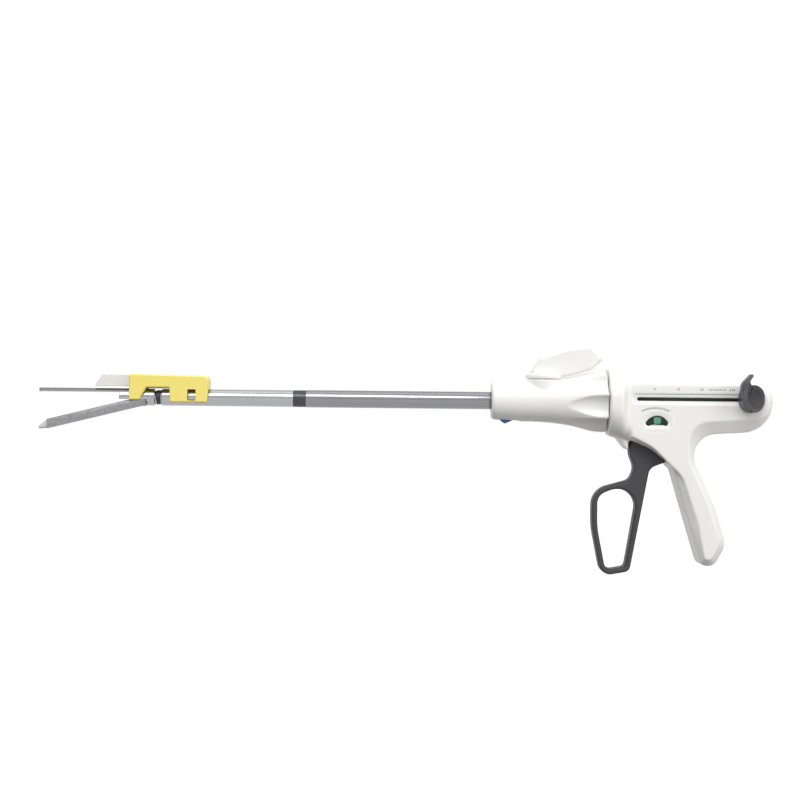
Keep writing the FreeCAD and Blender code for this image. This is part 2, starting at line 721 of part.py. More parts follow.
def anvil():
    plateTop = anvilUnder + anvilPlateThick
    slotDepth = 0.8         # of the knife's groove in the cover
    tip = tipCutter(anvilTip, 6.0)
    bar = rod(anvilTip, headRingFront, anvilRadius, 0, anvilRise)
    lower = bar.common(block(-farAway, 0, -9, 9, anvilUnder, plateTop))
    lower = lower.cut(tip).cut(block(anvilTip + 7, 0, -0.6, 0.6, 0, 10))
    pockets = [
        block(x - 1.5, x + 1.5, y - 0.3, y + 0.3, anvilUnder - 1, anvilUnder + 0.25)
        for x, y in stapleSites(jawPivotX - 13.0)
    ]
    lower = lower.cut(pockets)
    save("anvil_plate", lower)
    upper = bar.common(block(-farAway, 0, -9, 9, plateTop, 9))
    upper = upper.cut(tip).cut(block(anvilTip + 7, 0, -1.9, 1.9, 0, plateTop + slotDepth))
    save("anvil_cover", upper)
    flange = block(knifeFront, knifeRear, -1.5, 1.5, plateTop + 0.1, plateTop + slotDepth - 0.15)
    web = block(knifeFront, knifeRear, -0.4, 0.4, cartridgeTop + 0.3, plateTop + 0.2)
    bevel = plate([(knifeFront - 1, 0, 0.1), (knifeFront - 1, 4, 0.1), (knifeFront + 1.6, 0, 0.1)], -2, 2)
    link = block(knifeFront + 2, knifeRear, -0.4, 0.4, 1.0, cartridgeTop + 1)
    save("knife_strut", flange.fuse(web).cut(bevel).fuse(link))


def opened(shape):
    turnedShape = shape.copy()
    turnedShape.rotate(Vector(jawPivotX, 0, -jawPivotDrop), Vector(0, 1, 0), -jawOpenAngle)
    return turnedShape


channelTip = jawPivotX - jawLength
endSlant = 2.0          # of the end face, from the top to the floor
channelRear = jawPivotX - 3.8
earInner = 3.2
earOuter = 4.0


def jawChannel():
    wall = 0.8
    shape = pipe(channelTip - endSlant, channelRear, jawRadius, jawRadius - wall)
    shape = shape.common(block(-farAway, 0, -9, 9, -jawFloor + wall, jawDepthTop))
    floor = rod(channelTip - endSlant, channelRear, jawRadius)
    floor = floor.common(block(-farAway, 0, -9, 9, -jawFloor, -jawFloor + wall))
    floor = floor.cut(block(channelTip + 4, channelRear + 1, -0.6, 0.6, -9, 0))
    shape = shape.fuse(floor)
    for side in (-1, 1):
        low, high = sorted((side * earInner, side * earOuter))
        ear = plate([
            (channelRear - 3.4, jawDepthTop - 0.2, 0.3), (jawPivotX + 1.6, 1.1, 1.5),
            (jawPivotX + 1.6, -2.3, 1.5), (channelRear - 3.4, -2.4, 0.3),
        ], low, high)
        low, high = sorted((side * earInner, side * 4.75))
        pad = block(channelRear - 3.4, channelRear - 0.2, low, high, -2.4, jawDepthTop - 0.2)
        shape = shape.fuse(ear).fuse(pad)
    shape = shape.cut(crossPin(jawPivotX, -jawPivotDrop, 0.9 + runGap, -10, 10))
    save("jaw_channel", opened(shape).cut(beyondEnd()))


def beyondEnd():
    """Everything in front of the jaw's end face, which stands upright while the jaw is open."""
    tilt = math.radians(jawOpenAngle)
    end = jawPivotX - jawLength * math.cos(tilt) - (cartridgeTop + jawPivotDrop) * math.sin(tilt)
    return block(-farAway, end, -20, 20, -farAway, farAway)


cartridgeRear = jawPivotX - 7.4


def cartridge():
    radius = jawRadius - 0.8 - seatGap
    tip = channelTip - endSlant
    shape = rod(tip, cartridgeRear, radius).common(block(-farAway, 0, -9, 9, -jawFloor + 0.82, cartridgeTop))
    shape = shape.fuse(block(tip, cartridgeRear, -radius + 0.25, radius - 0.25, 0, cartridgeTop))
    shape = shape.cut(block(tip + 1, 0, -0.6, 0.6, -9, 9))
    shape = shape.cut(block(tip + 1, 0, -3.8, 3.8, -9, -0.7))
    sites = list(stapleSites(jawPivotX - 13.0))
    pockets = [block(x - 1.7, x + 1.7, y - 0.3, y + 0.3, -1, 9) for x, y in sites]
    shape = shape.cut(pockets)
    save("cartridge_body", opened(shape).cut(beyondEnd()))
    pushers = [block(x - 1.4, x + 1.4, y - 0.24, y + 0.24, -0.6, 0.7) for x, y in sites]
    save("staple_pushers", opened(Part.makeCompound(pushers)))
    staples = [block(x - 1.4, x + 1.4, y - 0.15, y + 0.15, 0.7, 1.6) for x, y in sites]
    save("staples", opened(Part.makeCompound(staples)))


def jawNose():
    """Pale pointed end, from the upright end face down to the floor's height."""
    tip = channelTip - noseLength
    back = channelTip + endSlant
    wide = 4.6
    narrow = 2.6
    low = 0.1 - jawFloor
    rear = [(wide, cartridgeTop, 1), (wide, low, 2), (-wide, low, 2), (-wide, cartridgeTop, 1)]
    front = [(narrow, -1.4, 0.5), (narrow, -3.4, 0.9), (-narrow, -3.4, 0.9), (-narrow, -1.4, 0.5)]
    throat = roundedWire(rear, crossPlane(channelTip))
    shape = Part.makeLoft([roundedWire(rear, crossPlane(back)), throat], True, True)
    shape = shape.fuse(Part.makeLoft([throat, roundedWire(front, crossPlane(tip))], True, True))
    save("cartridge_nose", opened(shape).common(beyondEnd()))


def sled():
    rear = cartridgeRear + 0.9
    low = -3.2
    high = -0.95
    side = [(rear, low, 0.2), (rear, high, 0.2), (rear - 1.2, high, 0.2), (rear - sledLength, low, 0.2)]
    ramp = plate(side, -3.2, 3.2)
    ramp = ramp.cut(block(-farAway, 0, -0.9, 0.9, -9, 9))
    bridge = block(rear - 1.0, rear, -3.2, 3.2, -3.4, -2.6)
    save("sled", opened(ramp.fuse(bridge)))
    footRear = rear + 2.6
    foot = block(rear + 0.2, footRear, -0.4, 0.4, -jawFloor - 0.1, 0.8)
    flange = block(rear + 0.2, footRear, -1.6, 1.6, -jawFloor - 0.7, -jawFloor - 0.1)
    save("knife_foot", opened(foot.fuse(flange)))


def shippingWedge():
    notchTop = 6.6
    notchRear = jointX + 8.1
    notchFront = jointX - 7.8
    rearDrop = 1.2
    outer = [
        (wedgeFront, wedgeTop, 2.0), (wedgeRear, wedgeTop - rearDrop, 3.5),
        (wedgeRear - 0.8, wedgeFoot, 0.6),
        (notchRear, wedgeFoot, 0.4), (notchRear, notchTop, 0.4), (notchFront, notchTop, 0.4),
        (notchFront - 4.4, wedgeFrontFoot, 0.4), (wedgeFront, wedgeFrontFoot, 0.6),
    ]
    shape = softPlate(outer, wedgeHalf, 0.7, 0.8)
    inner = tubeRadius + fitGap
    past = 5                # how far the cutters run beyond both ends
    hollow = block(wedgeFront - past, wedgeRear + past, -inner, inner, wedgeFoot - 1, 0.0)
    hollow = hollow.fuse(rod(wedgeFront - past, wedgeRear + past, inner))
    shape = shape.cut(hollow)
    core = block(wedgeFront + wedgeWall, wedgeRear - wedgeWall - 1.5, -inner, inner,
                 inner + 1.4, wedgeTop - rearDrop - wedgeWall)
    shape = shape.cut(core)
    window = block(wedgeRear - 14.6, wedgeRear - 8.8, -20, 20, -2.0, 5.5)
    shape = shape.cut(window)
    for side in (-1, 1):
        for x0, x1 in ((notchRear + 2, wedgeRear - 16), (wedgeRear - 7, wedgeRear - 2)):
            lip = block(x0, x1, *sorted((side * (inner - 0.7), side * (inner + 0.2))),
                        wedgeFoot + 0.1, wedgeFoot + 0.8)
            shape = shape.fuse(lip)
    save("wedge_clip", shape)
    tab = [
        (wedgeFront - 0.02, 7.4, 0.3), (tabFront + 1, 7.4, 0.5), (tabFront + 6.4, wedgeTop - 0.5, 1.0),
        (wedgeFront - 0.02, wedgeTop - 0.5, 0.3),
    ]
    save("wedge_tab", plate(tab, -3.2, 3.2))


def main():
    os.makedirs("parts", exist_ok=True)
    shells()
    triggerSpring()
    trigger()
    drivePawl()
    bar = rack()
    retractionKnob(-1, bar)
    retractionKnob(1, bar)
    fireButton()
    rotationKnob()
    shaft()
    articulation()
    unloadSlide()
    loadingUnit()
    headMount()
    anvil()
    jawChannel()
    cartridge()
    jawNose()
    sled()
    shippingWedge()


main()
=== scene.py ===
import math

import bmesh
import bpy
import numpy as np
from mathutils import Matrix, Vector
from mathutils.bvhtree import BVHTree


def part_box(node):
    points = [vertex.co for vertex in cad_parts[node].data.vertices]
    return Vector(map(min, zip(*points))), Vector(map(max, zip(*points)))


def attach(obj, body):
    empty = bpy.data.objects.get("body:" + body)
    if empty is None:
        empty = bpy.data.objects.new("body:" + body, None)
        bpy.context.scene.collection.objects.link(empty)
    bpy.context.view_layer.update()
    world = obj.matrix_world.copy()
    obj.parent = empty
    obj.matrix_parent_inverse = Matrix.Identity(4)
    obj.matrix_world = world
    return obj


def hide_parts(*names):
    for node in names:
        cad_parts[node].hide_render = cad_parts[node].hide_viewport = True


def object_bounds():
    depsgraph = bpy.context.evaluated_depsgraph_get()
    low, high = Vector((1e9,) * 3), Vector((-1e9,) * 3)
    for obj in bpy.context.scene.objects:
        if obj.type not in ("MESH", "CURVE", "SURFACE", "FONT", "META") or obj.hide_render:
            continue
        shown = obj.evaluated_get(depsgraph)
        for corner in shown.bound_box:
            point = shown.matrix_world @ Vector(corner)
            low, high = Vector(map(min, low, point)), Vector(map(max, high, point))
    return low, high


# Endoscopic linear stapler: shaft along X, jaws at -X, left side at -Y, up +Z. Metres.
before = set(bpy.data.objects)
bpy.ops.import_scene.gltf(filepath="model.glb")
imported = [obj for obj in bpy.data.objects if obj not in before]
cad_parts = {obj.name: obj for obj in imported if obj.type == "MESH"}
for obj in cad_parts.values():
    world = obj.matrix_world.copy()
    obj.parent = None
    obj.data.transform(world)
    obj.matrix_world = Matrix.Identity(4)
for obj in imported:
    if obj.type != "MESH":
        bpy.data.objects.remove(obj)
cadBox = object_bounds()
mm = 0.001


# Colours and nodes

def linear(code):  # sRGB hex to linear
    parts = [int(code[i:i + 2], 16) / 255 for i in (1, 3, 5)]
    return [p / 12.92 if p <= 0.04045 else ((p + 0.055) / 1.055) ** 2.4 for p in parts] + [1.0]


def addNode(tree, kind, sockets=None, **settings):
    node = tree.nodes.new(kind)
    for name, value in settings.items():
        setattr(node, name, value)
    for key, value in (sockets or {}).items():
        if isinstance(value, bpy.types.NodeSocket):
            tree.links.new(value, node.inputs[key])
        else:
            node.inputs[key].default_value = value
    return node


def startMaterial(name, roughness, metallic=0.0, ior=None):
    material = bpy.data.materials.new(name)
    material.use_nodes = True
    tree = material.node_tree
    tree.nodes.clear()
    shader = addNode(tree, "ShaderNodeBsdfPrincipled", {"Roughness": roughness, "Metallic": metallic})
    if ior:
        shader.inputs["IOR"].default_value = ior
    addNode(tree, "ShaderNodeOutputMaterial", {"Surface": shader.outputs[0]})
    coords = addNode(tree, "ShaderNodeTexCoord").outputs["Object"]
    return material, tree, shader, coords


def paint(tree, shader, look, pattern, height, quiet):  # two tones, wandering gloss and relief from patterns
    tone = addNode(tree, "ShaderNodeMix",
                   {0: pattern, 6: linear(look["deep"]), 7: linear(look["pale"])}, data_type="RGBA")
    tree.links.new(tone.outputs[2], shader.inputs["Base Color"])
    gloss = addNode(tree, "ShaderNodeMapRange",
                    {0: pattern, 1: quiet, 2: 1 - quiet,
                     3: look["roughness"] - look["wander"], 4: look["roughness"] + look["wander"]})
    tree.links.new(gloss.outputs[0], shader.inputs["Roughness"])
    bump = addNode(tree, "ShaderNodeBump",
                   {"Height": height, "Strength": look["relief"], "Distance": look["depth"] * mm})
    tree.links.new(bump.outputs[0], shader.inputs["Normal"])


def mouldedPlastic(name, look):  # two tones that drift, a fine eroded grain, gloss that wanders
    material, tree, shader, coords = startMaterial(name, look["roughness"], ior=look.get("ior", 1.53))
    drift = addNode(tree, "ShaderNodeTexNoise",
                    {"Vector": coords, "Scale": 1 / (look["drift"] * mm), "Detail": 3.0})
    grain = addNode(tree, "ShaderNodeTexNoise",
                    {"Vector": coords, "Scale": 1 / (look["grain"] * mm), "Detail": 4.0})
    paint(tree, shader, look, drift.outputs[0], grain.outputs[0], quiet=0.3)
    if look.get("inside"):
        shader.inputs["Subsurface Weight"].default_value = look["inside"]
        shader.inputs["Subsurface Scale"].default_value = 1.5 * mm
    if look.get("clear"):
        shader.inputs["Transmission Weight"].default_value = look["clear"]
    return material


def drawnMetal(name, look):  # streaks along the shaft, as a die or a belt leaves them
    material, tree, shader, coords = startMaterial(name, look["roughness"], metallic=1.0)
    shift = addNode(tree, "ShaderNodeMapping", {"Vector": coords, "Scale": (look["stretch"], 1.0, 1.0)})
    streak = addNode(tree, "ShaderNodeTexNoise",
                     {"Vector": shift.outputs[0], "Scale": 1 / (look["streak"] * mm),
                      "Detail": 4.0, "Roughness": 0.65})
    paint(tree, shader, look, streak.outputs[0], streak.outputs[0], quiet=0.25)
    return material


# The real grain and lines are about a tenth of a millimetre; grain and streak (mm) are drawn coarser to show
finishes = {
    # ABS from a fine spark-eroded mould: near white, satin, a soft sheen on the rounds
    "satinWhiteAbs": (mouldedPlastic, {
        "pale": "#F6F5F2", "deep": "#F0EFEB", "roughness": 0.34, "wander": 0.04,
        "drift": 24, "grain": 0.35, "relief": 0.1, "depth": 0.03, "inside": 0.12}),
    # glass-filled nylon: dark warm grey, dull, with a visible pebble grain
    "grainedGreyNylon": (mouldedPlastic, {
        "pale": "#3D3D40", "deep": "#333336", "roughness": 0.5, "wander": 0.06,
        "drift": 14, "grain": 0.5, "relief": 0.22, "depth": 0.06, "ior": 1.46}),
    # matt moulded nylon: a softer, slightly violet dark grey with faint wide highlights
    "softDarkKnobPlastic": (mouldedPlastic, {
        "pale": "#4C4B50", "deep": "#414045", "roughness": 0.42, "wander": 0.05,
        "drift": 9, "grain": 0.4, "relief": 0.15, "depth": 0.04, "ior": 1.46}),
    # the same plastic in the thumb hollow, darker as painted shade, and less of the room shows in it
    "shadedThumbPlastic": (mouldedPlastic, {
        "pale": "#353439", "deep": "#29282D", "roughness": 0.5, "wander": 0.05,
        "drift": 6, "grain": 0.4, "relief": 0.12, "depth": 0.03, "ior": 1.4}),
    # tinted polycarbonate: the light goes in a little way and comes back green
    "tintedGreenPolycarbonate": (mouldedPlastic, {
        "pale": "#62A78B", "deep": "#4F8F77", "roughness": 0.2, "wander": 0.03,
        "drift": 5, "grain": 1.2, "relief": 0.05, "depth": 0.02, "inside": 0.3, "ior": 1.58}),
    # polycarbonate over the dark inside: nearly black, green only at its edges
    "darkGreenPolycarbonate": (mouldedPlastic, {
        "pale": "#12271F", "deep": "#0A1813", "roughness": 0.34, "wander": 0.03,
        "drift": 5, "grain": 1.2, "relief": 0.05, "depth": 0.02, "ior": 1.4}),
    # moulded ABS dyed through: an even strong blue, satin
    "mouldedBlueAbs": (mouldedPlastic, {
        "pale": "#3266A8", "deep": "#285794", "roughness": 0.35, "wander": 0.04,
        "drift": 6, "grain": 0.35, "relief": 0.12, "depth": 0.03}),
    # polypropylene: waxy, clean yellow with a little glow in its thin walls
    "waxyYellowPolypropylene": (mouldedPlastic, {
        "pale": "#FFEF8E", "deep": "#FDE672", "roughness": 0.38, "wander": 0.05,
        "drift": 11, "grain": 0.6, "relief": 0.1, "depth": 0.04, "inside": 0.15, "ior": 1.49}),
    # undyed polypropylene: milky, and a little of what is behind it comes through
    "milkyPolypropylene": (mouldedPlastic, {
        "pale": "#FDFDF8", "deep": "#F9F9EE", "roughness": 0.36, "wander": 0.05,
        "drift": 9, "grain": 0.7, "relief": 0.1, "depth": 0.04, "inside": 0.3, "clear": 0.12, "ior": 1.49}),
    # stainless tube, drawn and belt polished: fine lengthwise lines, soft bands of light
    "satinDrawnSteel": (drawnMetal, {
        "pale": "#98989B", "deep": "#78787C", "roughness": 0.2, "wander": 0.05,
        "stretch": 0.04, "streak": 0.5, "relief": 0.12, "depth": 0.02}),
    # the same steel polished brighter: paler, with tighter highlights
    "brightDrawnSteel": (drawnMetal, {
        "pale": "#B2B3B5", "deep": "#96979A", "roughness": 0.18, "wander": 0.04,
        "stretch": 0.04, "streak": 0.5, "relief": 0.1, "depth": 0.02}),
    # blackened ring where the unit locks on: a dark band with dull highlights
    "darkRingSteel": (drawnMetal, {
        "pale": "#55555A", "deep": "#3C3C41", "roughness": 0.32, "wander": 0.06,
        "stretch": 0.3, "streak": 0.6, "relief": 0.12, "depth": 0.02}),
    # tumbled in stone media: a dull dark grey that drifts along the jaw
    "tumbledAnvilSteel": (drawnMetal, {
        "pale": "#8C8C8E", "deep": "#68686B", "roughness": 0.42, "wander": 0.08,
        "stretch": 0.4, "streak": 0.9, "relief": 0.2, "depth": 0.03}),
    # tumbled steel: dull grey, with pale specks a few millimetres apart painted in as glints
    "glintSpeckledJawSteel": (drawnMetal, {
        "pale": "#B4B4B5", "deep": "#68686B", "roughness": 0.44, "wander": 0.08,
        "stretch": 0.55, "streak": 1.7, "relief": 0.35, "depth": 0.08}),
    # centreless-ground pins and pressed levers: pale, even, slightly lined
    "groundPinSteel": (drawnMetal, {
        "pale": "#C4C5C8", "deep": "#A6A7AA", "roughness": 0.28, "wander": 0.05,
        "stretch": 0.2, "streak": 0.4, "relief": 0.1, "depth": 0.02}),
    # moulded rubber: black and dull, so that the joint shows as a dark band
    "blackJointRubber": (mouldedPlastic, {
        "pale": "#26262A", "deep": "#19191C", "roughness": 0.55, "wander": 0.05,
        "drift": 4, "grain": 0.4, "relief": 0.2, "depth": 0.04}),
    # filled plastic cartridge: mid grey, flat, finely grained
    "greyCartridgePlastic": (mouldedPlastic, {
        "pale": "#8E8E90", "deep": "#7A7A7D", "roughness": 0.5, "wander": 0.05,
        "drift": 3, "grain": 0.5, "relief": 0.2, "depth": 0.04}),
    # undyed acetal: pale grey, a little light goes in at its thin edges
    "paleNosePlastic": (mouldedPlastic, {
        "pale": "#E8E8E8", "deep": "#DADADB", "roughness": 0.35, "wander": 0.04,
        "drift": 4, "grain": 0.5, "relief": 0.1, "depth": 0.03, "inside": 0.2}),
    # drawn titanium wire: warm pale grey, finely lined
    "titaniumStapleWire": (drawnMetal, {
        "pale": "#D8D5CE", "deep": "#B8B5AE", "roughness": 0.32, "wander": 0.06,
        "stretch": 0.3, "streak": 0.3, "relief": 0.1, "depth": 0.02}),
    # filled nylon rack: mid grey, dull
    "greyRackPlastic": (mouldedPlastic, {
        "pale": "#8E8E91", "deep": "#7C7C80", "roughness": 0.5, "wander": 0.05,
        "drift": 8, "grain": 0.5, "relief": 0.2, "depth": 0.04}),
    # silicone: pale, soft to the eye, without sharp highlights
    "siliconeSeal": (mouldedPlastic, {
        "pale": "#CFCFCB", "deep": "#C0C0BB", "roughness": 0.45, "wander": 0.05,
        "drift": 4, "grain": 0.6, "relief": 0.1, "depth": 0.03, "inside": 0.3}),
    # pad-printed ink: flat mid grey, also used for the line of painted shade along the crease over the slot
    "printInkAndShadeGrey": (mouldedPlastic, {
        "pale": "#8C8D90", "deep": "#7E7F83", "roughness": 0.5, "wander": 0.04,
        "drift": 3, "grain": 0.3, "relief": 0.05, "depth": 0.01}),
}
materials = {name: build(name, look) for name, (build, look) in finishes.items()}
print("materials", len(materials))


# Meshes

meshing = {"weld": 0.0015, "seam": 0.01, "halvesGap": 0.05, "rayStart": 60,  # mm
           "smoothing": 0.5, "roundSegments": 3}


def newPiece(name, mesh=None):
    piece = bpy.data.objects.new(name, mesh or bpy.data.meshes.new(name))
    bpy.context.scene.collection.objects.link(piece)
    return piece


def fromShape(name, shape):  # a piece out of a bmesh
    piece = newPiece(name)
    shape.to_mesh(piece.data)
    shape.free()
    return piece


def readPoints(piece):  # in mm
    points = np.empty(len(piece.data.vertices) * 3, np.float32)
    piece.data.vertices.foreach_get("co", points)
    return points.reshape(-1, 3) / mm


def writePoints(piece, points):
    piece.data.vertices.foreach_set("co", (points * mm).astype(np.float32).ravel())
    piece.data.update()


def copyNodes(name, nodes, overlap=0.0):  # one merged copy; halves may lap over their seam
    shape = bmesh.new()
    for node in nodes:
        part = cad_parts[node].data.copy()
        sideways = -1 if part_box(node)[0].y < -abs(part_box(node)[1].y) else 1
        if overlap:
            for vertex in part.vertices:
                if abs(vertex.co.y) < meshing["seam"] * mm:
                    vertex.co.y = -sideways * overlap
        shape.from_mesh(part)
        bpy.data.meshes.remove(part)
    bmesh.ops.remove_doubles(shape, verts=shape.verts, dist=meshing["weld"] * mm)
    return fromShape(name, shape)


def bake(piece):  # applies what its modifiers do
    bpy.context.view_layer.update()
    mesh = bpy.data.meshes.new_from_object(piece.evaluated_get(bpy.context.evaluated_depsgraph_get()))
    piece.modifiers.clear()
    old = piece.data
    piece.data = mesh
    bpy.data.meshes.remove(old)
    piece.vertex_groups.clear()


def soften(piece, voxel, passes, calm=None, calmPasses=0):  # rounds edges, less where calm(points) is true
    skin = piece.modifiers.new("skin", "REMESH")
    skin.mode = "VOXEL"
    skin.voxel_size = voxel * mm
    bake(piece)
    if calm:
        marked = calm(readPoints(piece))
        for groupName, chosen in (("free", ~marked), ("calm", marked)):
            group = piece.vertex_groups.new(name=groupName)
            group.add(np.flatnonzero(chosen).tolist(), 1.0, "REPLACE")
    rounds = (("free", passes), ("calm", calmPasses)) if calm else (("", passes),)
    for groupName, count in rounds:
        smooth = piece.modifiers.new("smooth", "SMOOTH")
        smooth.factor = meshing["smoothing"]
        smooth.iterations = count
        smooth.vertex_group = groupName
    bake(piece)
    for face in piece.data.polygons:
        face.use_smooth = True


def splitHalves(piece, names):  # cuts at y = 0 and closes each half
    halves = []
    away = meshing["halvesGap"] * mm / 2
    for name, side in zip(names, (-1, 1)):
        shape = bmesh.new()
        shape.from_mesh(piece.data)
        cut = bmesh.ops.bisect_plane(shape, geom=shape.verts[:] + shape.edges[:] + shape.faces[:],
                                     dist=1e-7, plane_co=(0, side * away, 0),
                                     plane_no=(0, -side, 0), clear_outer=True)
        rim = [g for g in cut["geom_cut"] if isinstance(g, bmesh.types.BMEdge)]
        filled = bmesh.ops.triangle_fill(shape, edges=rim, use_beauty=True, use_dissolve=False)
        for g in filled["geom"]:
            if isinstance(g, bmesh.types.BMFace):
                g.smooth = False
                g.normal_update()
                if g.normal.y * side > 0:
                    g.normal_flip()
        for edge in rim:
            edge.smooth = False
        halves.append(fromShape(name, shape))
    bpy.data.objects.remove(piece)
    return halves


def crispEdges(piece, bevel, angle=30):  # small rounds on sharp edges, smooth faces between
    if bevel:
        rounds = piece.modifiers.new("rounds", "BEVEL")
        rounds.width = bevel * mm
        rounds.segments = meshing["roundSegments"]
        rounds.limit_method = "ANGLE"
        rounds.angle_limit = math.radians(angle)
        rounds.use_clamp_overlap = True
        bake(piece)
    for face in piece.data.polygons:
        face.use_smooth = True
    piece.data.set_sharp_from_angle(angle=math.radians(angle))


def place(piece, body, slotName, finish, *replaced):
    piece.data.materials.clear()
    piece.data.materials.append(materials[finish])
    for face in piece.data.polygons:
        face.material_index = 0
    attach(piece, body)
    if replaced:
        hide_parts(*replaced)


def edgedCopy(node, name, body, slotName, finish, bevel):
    piece = copyNodes(name, [node])
    crispEdges(piece, bevel)
    place(piece, body, slotName, finish, node)


def softCopy(node, name, body, slotName, finish, voxel, passes):
    piece = copyNodes(name, [node])
    soften(piece, voxel, passes)
    place(piece, body, slotName, finish, node)


def recolour(node, finish):  # a CAD node whose shape is right
    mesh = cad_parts[node].data
    mesh.materials.clear()
    mesh.materials.append(materials[finish])


# Handle casing

casing = {"voxel": 0.6, "rounding": 10, "crisp": 3, "seamLap": 0.15,
          "slotStart": 92, "slotLow": -2.6, "slotHigh": 4.0, "slotOut": 13.5,
          "buttonX": 111.8, "windowZ": -12.6, "windowHalf": (13, 8), "windowOut": 12,
          "creaseEnds": (95.0, 168), "creaseZ": 5.5, "creaseDepth": 0.35, "creaseWidth": 0.4,
          "rimZ": -12.0, "rimHalf": (12.6, 8.4), "rimReach": 9, "rimDepth": 0.14, "rimWidth": 0.6,
          "linesFrom": 88, "linesOut": 14.2}  # mm


def nearHandleCuts(p):  # slot with its track, button window and its dish
    x, y, z = p[:, 0], abs(p[:, 1]), p[:, 2]
    slotBand = (x > casing["slotStart"]) & (z > casing["slotLow"]) & (z < casing["slotHigh"])
    halfWide, halfHigh = casing["windowHalf"]
    window = ((x - casing["buttonX"]) / halfWide) ** 2 + ((z - casing["windowZ"]) / halfHigh) ** 2 < 1
    return (slotBand & (y > casing["slotOut"])) | (window & (y > casing["windowOut"]))


def casingLines(p):  # depth of the crease over the slot and of the dish rim round the button
    x, z = p[:, 0], p[:, 2]
    front, rear = casing["creaseEnds"]
    past = np.clip(front - x, 0, None) + np.clip(x - rear, 0, None)
    crease = np.hypot(past, z - casing["creaseZ"])
    halfWide, halfHigh = casing["rimHalf"]
    oval = np.hypot((x - casing["buttonX"]) / halfWide, (z - casing["rimZ"]) / halfHigh)
    rim = abs(oval - 1) * casing["rimReach"]
    cut = (casing["creaseDepth"] * np.exp(-(crease / casing["creaseWidth"]) ** 2)
           + casing["rimDepth"] * np.exp(-(rim / casing["rimWidth"]) ** 2))
    return np.where((abs(p[:, 1]) > casing["linesOut"]) & (x > casing["linesFrom"]), cut, 0)


skin = copyNodes("casing", ["left_shell", "right_shell"], overlap=casing["seamLap"] * mm)
soften(skin, casing["voxel"], casing["rounding"], nearHandleCuts, casing["crisp"])
skinPoints = readPoints(skin)
skinPoints[:, 1] -= np.sign(skinPoints[:, 1]) * casingLines(skinPoints)
writePoints(skin, skinPoints)
leftCasing, rightCasing = splitHalves(skin, ("casing_left", "casing_right"))
place(leftCasing, "handle", "body_white", "satinWhiteAbs", "left_shell")
place(rightCasing, "handle", "body_white", "satinWhiteAbs", "right_shell")
print("casing", len(leftCasing.data.polygons), "faces a side")


# Prints on the casing: plain scale numbers and ticks, with no words, and a fine grey line of painted shade
# along the crease over the slot

printsAndShadeLine = {"thick": 0.05, "raised": 0.3, "numberSize": 2.3, "numberZ": 8.2,
          "numbers": (("30", 109.8), ("45", 126.1), ("60", 142.0)),
          "shadeLineEnds": (95.2, 166.5), "shadeLineZ": 5.5, "shadeLineWidth": 0.3,  # mm, "raised" is a share of "thick"
          "shadeLineCuts": 40}
tickRows = (  # count, step, radius of the arc, width, height of a tick, then X and Z of the middle, mm
    (8, 1.5, 900.0, 0.75, 0.85, 152.3, 8.8),
    (3, 1.4, 900.0, 0.8, 1.1, 162.7, 8.7),
)
buttonArc = (13, 1.5, 21.0, 0.85, 1.15, 110.6, -3.9)


def tickTree():  # a row of small bars along an arc in the X-Z plane
    tree = bpy.data.node_groups.new("tickRow", "GeometryNodeTree")
    ids = {}
    for name, kind in (("Count", "Int"), ("Step", "Float"), ("Radius", "Float"), ("Width", "Float"),
                       ("Height", "Float"), ("Thick", "Float"), ("Finish", "Material")):
        socket = tree.interface.new_socket(name, in_out="INPUT", socket_type="NodeSocket" + kind)
        ids[name] = socket.identifier
    tree.interface.new_socket("Geometry", in_out="OUTPUT", socket_type="NodeSocketGeometry")
    given = addNode(tree, "NodeGroupInput").outputs
    last = addNode(tree, "ShaderNodeMath", {0: given["Count"], 1: 1.0}, operation="SUBTRACT")
    middle = addNode(tree, "ShaderNodeMath", {0: last.outputs[0], 1: 0.5}, operation="MULTIPLY")
    index = addNode(tree, "GeometryNodeInputIndex")
    offset = addNode(tree, "ShaderNodeMath", {0: index.outputs[0], 1: middle.outputs[0]},
                     operation="SUBTRACT")
    along = addNode(tree, "ShaderNodeMath", {0: offset.outputs[0], 1: given["Step"]}, operation="MULTIPLY")
    angle = addNode(tree, "ShaderNodeMath", {0: along.outputs[0], 1: given["Radius"]}, operation="DIVIDE")
    sine = addNode(tree, "ShaderNodeMath", {0: angle.outputs[0]}, operation="SINE")
    cosine = addNode(tree, "ShaderNodeMath", {0: angle.outputs[0]}, operation="COSINE")
    drop = addNode(tree, "ShaderNodeMath", {0: cosine.outputs[0], 1: 1.0}, operation="SUBTRACT")
    x = addNode(tree, "ShaderNodeMath", {0: sine.outputs[0], 1: given["Radius"]}, operation="MULTIPLY")
    z = addNode(tree, "ShaderNodeMath", {0: drop.outputs[0], 1: given["Radius"]}, operation="MULTIPLY")
    spot = addNode(tree, "ShaderNodeCombineXYZ", {0: x.outputs[0], 2: z.outputs[0]})
    turn = addNode(tree, "ShaderNodeCombineXYZ", {1: angle.outputs[0]})
    line = addNode(tree, "GeometryNodeMeshLine", {"Count": given["Count"]})
    moved = addNode(tree, "GeometryNodeSetPosition",
                    {"Geometry": line.outputs[0], "Position": spot.outputs[0]})
    size = addNode(tree, "ShaderNodeCombineXYZ", {0: given["Width"], 1: given["Thick"], 2: given["Height"]})
    bar = addNode(tree, "GeometryNodeMeshCube", {"Size": size.outputs[0]})
    copies = addNode(tree, "GeometryNodeInstanceOnPoints",
                     {"Points": moved.outputs[0], "Instance": bar.outputs[0], "Rotation": turn.outputs[0]})
    solid = addNode(tree, "GeometryNodeRealizeInstances", {0: copies.outputs[0]})
    painted = addNode(tree, "GeometryNodeSetMaterial",
                      {"Geometry": solid.outputs[0], "Material": given["Finish"]})
    addNode(tree, "NodeGroupOutput", {"Geometry": painted.outputs[0]})
    return tree, ids


tickRow, tickIds = tickTree()


